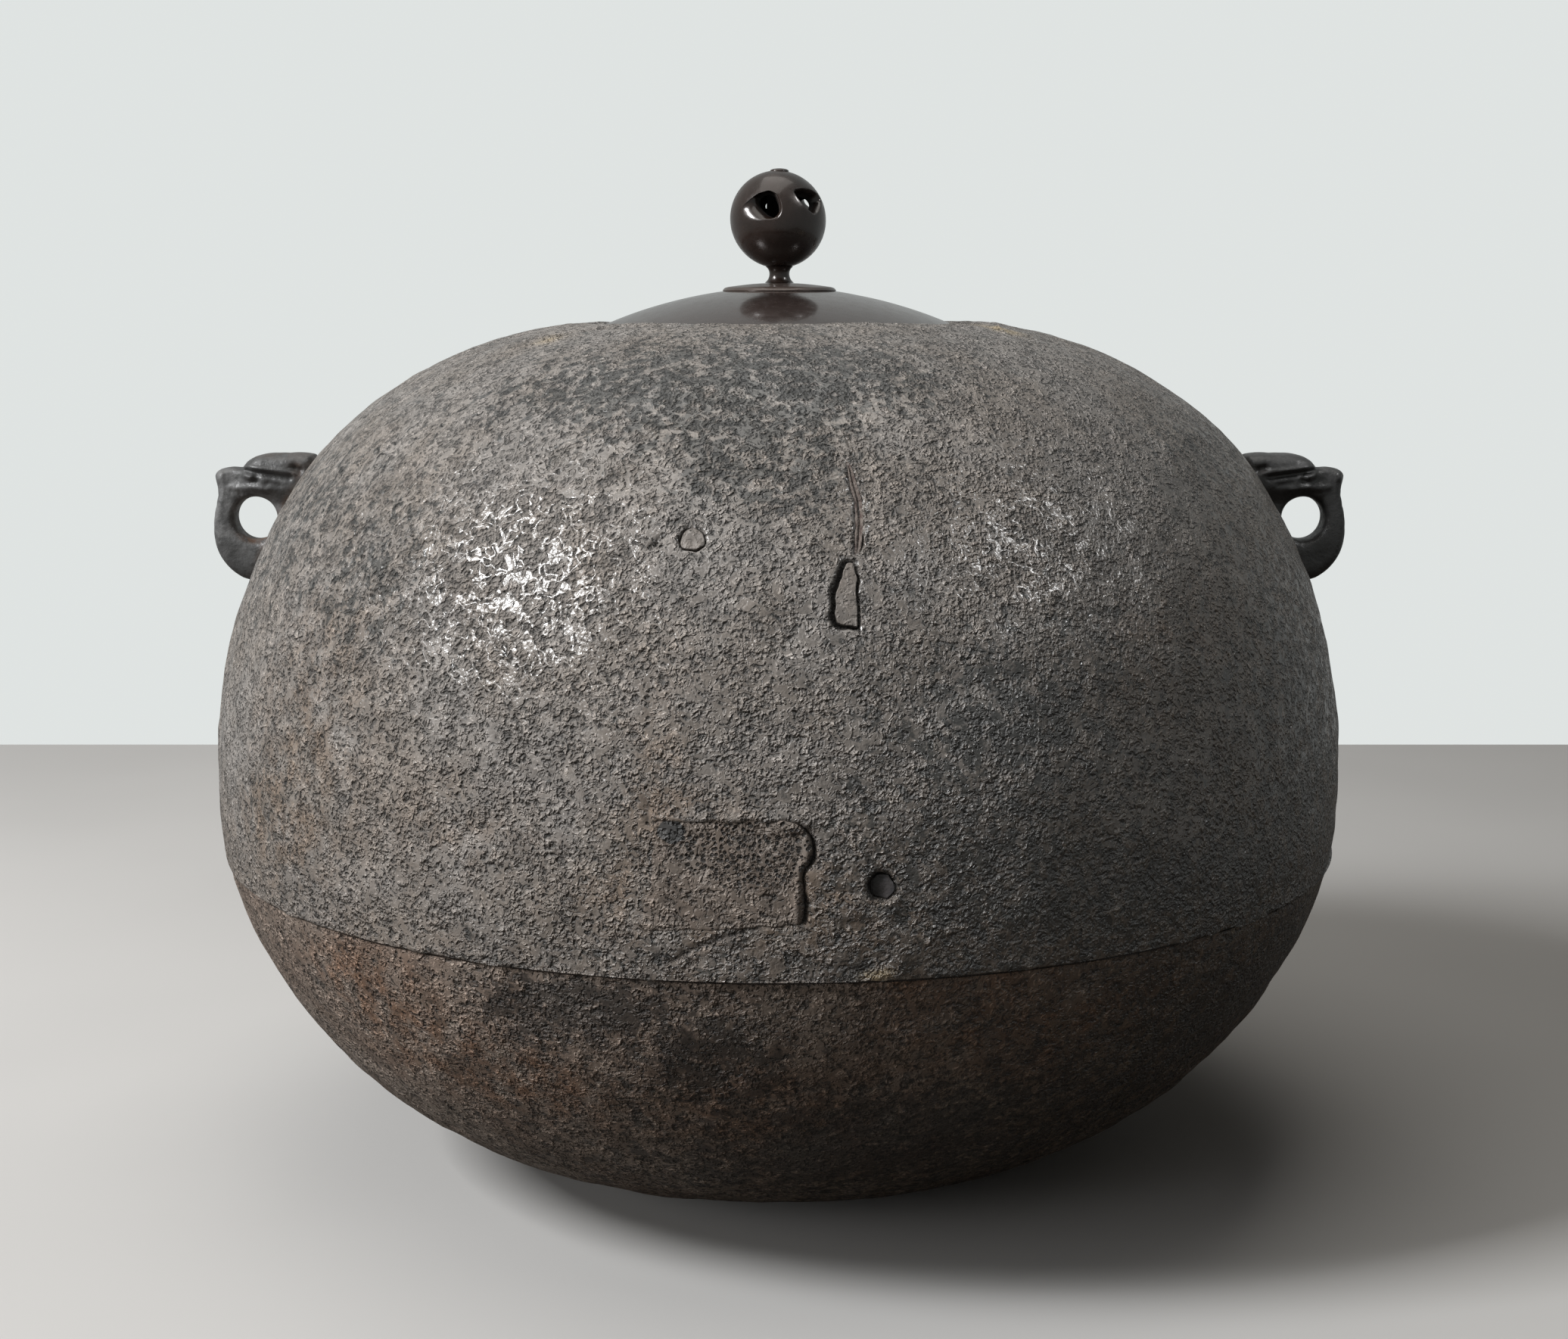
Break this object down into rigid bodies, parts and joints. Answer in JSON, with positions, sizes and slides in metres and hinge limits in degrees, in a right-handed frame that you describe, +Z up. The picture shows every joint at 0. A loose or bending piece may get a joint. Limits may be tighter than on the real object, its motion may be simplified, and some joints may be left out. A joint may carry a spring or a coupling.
{
  "type": "chagama kettle",
  "caption": "Round cast-iron tea-ceremony kettle with a sunken mouth, a renewed bottom pan, beast-head ring lugs and a domed bronze lid with a pierced ball knob.",
  "frame": {"origin": "centre of the flat foot, on the surface that the kettle stands on", "axes": "+Z up the kettle's axis, +X towards the right lug, front (repairs) towards -Y"},
  "size_m": [0.2584, 0.255, 0.2226],
  "materials": {
    "body_iron": "rough weathered casting, grey-brown with rust bloom",
    "pan_iron": "rough rust-brown casting",
    "cement": "dark iron and lacquer cement",
    "lug_iron": "smooth charcoal-black casting",
    "repair_iron": "fine pitted iron",
    "crack_lacquer": "reddish lacquer and rust filling",
    "plate_iron": "dull iron plate",
    "pad_lacquer": "dark lacquer",
    "lid_bronze": "satin red-brown patina",
    "seat_bronze": "satin brown patina",
    "knob_bronze": "dark brown patina"
  },
  "bodies": {
    "kettle": {"kettle_body": "body_iron", "bottom_pan": "pan_iron", "seam_cement": "cement", "left_lug": "lug_iron", "right_lug": "lug_iron", "panel_patch": "repair_iron", "wedge_patch": "repair_iron", "crack_filler": "crack_lacquer", "casting_plug": "body_iron", "casting_pin": "repair_iron", "singing_plate_1": "plate_iron", "singing_plate_2": "plate_iron", "singing_plate_3": "plate_iron", "lacquer_pad_1": "pad_lacquer", "lacquer_pad_2": "pad_lacquer", "lacquer_pad_3": "pad_lacquer"},
    "lid": {"lid_dome": "lid_bronze", "knob_seat": "seat_bronze", "lid_washer": "seat_bronze"},
    "knob": {"knob_stem": "knob_bronze", "knob_ball": "knob_bronze", "knob_nub": "knob_bronze"}
  },
  "joints": [
    {"name": "lid_lift", "type": "slide", "parent": "kettle", "child": "lid", "axis": [0, 0, 1], "range_m": [0, 0.12]},
    {"name": "knob_turn", "type": "hinge", "parent": "lid", "child": "knob", "pos_m": [0, 0, 0.1973], "axis": [0, 0, 1], "continuous": true}
  ]
}
